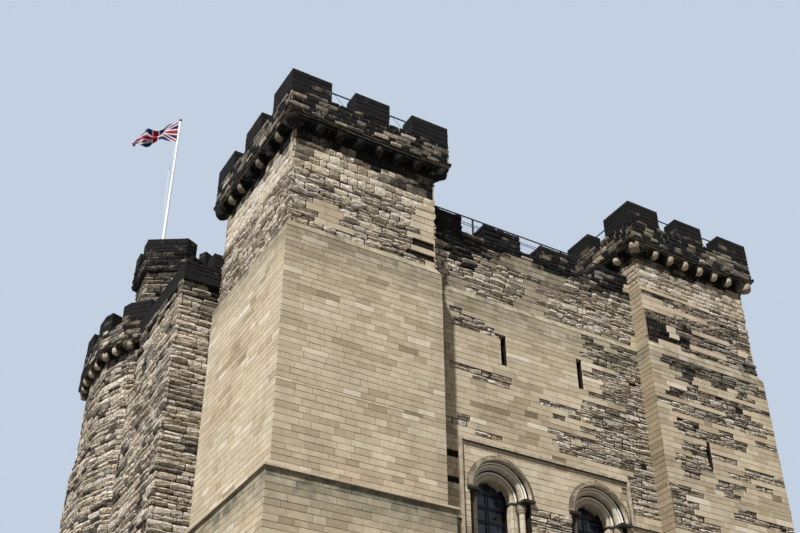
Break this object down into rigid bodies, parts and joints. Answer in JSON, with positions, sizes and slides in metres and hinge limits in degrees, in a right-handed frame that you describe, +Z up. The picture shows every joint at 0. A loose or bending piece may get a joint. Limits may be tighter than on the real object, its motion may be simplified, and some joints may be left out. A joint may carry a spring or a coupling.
{
  "type": "castle keep",
  "caption": "Square stone keep with corner turrets on corbels, battlements, round-headed windows, a flag turret and a flagpole.",
  "frame": {"origin": "on the ground at the middle of the plan", "axes": "+Z up, -Y the two-window south front, -X the west side with the buttress"},
  "size_m": [19, 20.9, 37.25],
  "materials": {
    "ashlar": "fine jointed sandstone",
    "rubble": "weathered coursed sandstone",
    "sooty_stone": "blackened sandstone",
    "carved_stone": "dressed sandstone",
    "floor_stone": "worn flagstones",
    "roof_lead": "dull grey sheet",
    "window_glass": "dark leaded glazing",
    "white_paint": "gloss white",
    "flag_cloth": "woven bunting",
    "dark_iron": "dark satin paint"
  },
  "bodies": {
    "root": {"south_west_turret": "ashlar", "south_east_turret": "ashlar", "north_east_turret": "ashlar", "north_west_turret": "rubble", "south_west_parapet": "sooty_stone", "south_east_parapet": "sooty_stone", "north_east_parapet": "sooty_stone", "north_west_parapet": "sooty_stone", "south_wall_lower": "ashlar", "south_wall_window_piers": "ashlar", "south_wall_arches": "ashlar", "south_wall_slit_piers": "ashlar", "south_wall_top": "rubble", "east_wall_lower": "ashlar", "east_wall_window_piers": "ashlar", "east_wall_arches": "ashlar", "east_wall_slit_piers": "ashlar", "east_wall_top": "rubble", "north_wall_door_jambs": "ashlar", "north_wall": "ashlar", "north_wall_slit_piers": "ashlar", "north_wall_top": "rubble", "west_wall": "rubble", "west_buttress": "rubble", "west_buttress_parapet": "sooty_stone", "south_parapet": "sooty_stone", "north_parapet": "sooty_stone", "east_parapet": "sooty_stone", "west_parapet": "sooty_stone", "ground_floor": "floor_stone", "hall_floor": "floor_stone", "roof_deck": "roof_lead", "south_window_surrounds": "carved_stone", "east_window_surrounds": "carved_stone", "south_window_glass": "window_glass", "east_window_glass": "window_glass", "south_label_frame": "carved_stone", "east_label_frame": "carved_stone", "flag_turret": "rubble", "flag_turret_parapet": "sooty_stone", "flagpole": "white_paint", "flag": "flag_cloth", "wall_walk_railing": "dark_iron", "turret_railings": "dark_iron"}
  },
  "joints": []
}
